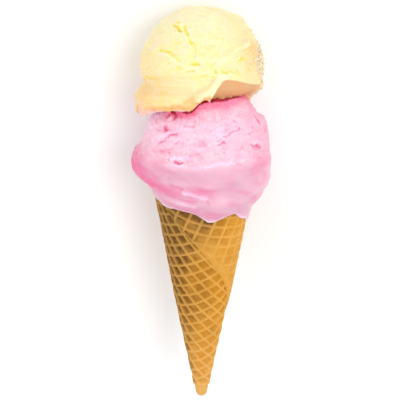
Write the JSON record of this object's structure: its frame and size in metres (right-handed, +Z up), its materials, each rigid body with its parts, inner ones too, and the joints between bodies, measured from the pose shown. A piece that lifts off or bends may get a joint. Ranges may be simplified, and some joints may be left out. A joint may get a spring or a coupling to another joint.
{
  "type": "ice cream cone",
  "caption": "Rolled sugar cone with a pink and a yellow scoop of ice cream on top, lying on its back.",
  "frame": {"origin": "middle of the footprint, on the plane that the laid cone rests on", "axes": "+Y along the cone from its tip to the scoops, +Z up through the front of the cone, +X to its right"},
  "size_m": [0.077, 0.231, 0.0764],
  "materials": {
    "wafer": "matte, baked",
    "pink_ice_cream": "satin, frozen",
    "yellow_ice_cream": "satin, frozen"
  },
  "bodies": {
    "root": {"sugar_cone": "wafer", "pink_scoop": "pink_ice_cream", "yellow_scoop": "yellow_ice_cream"}
  },
  "joints": []
}
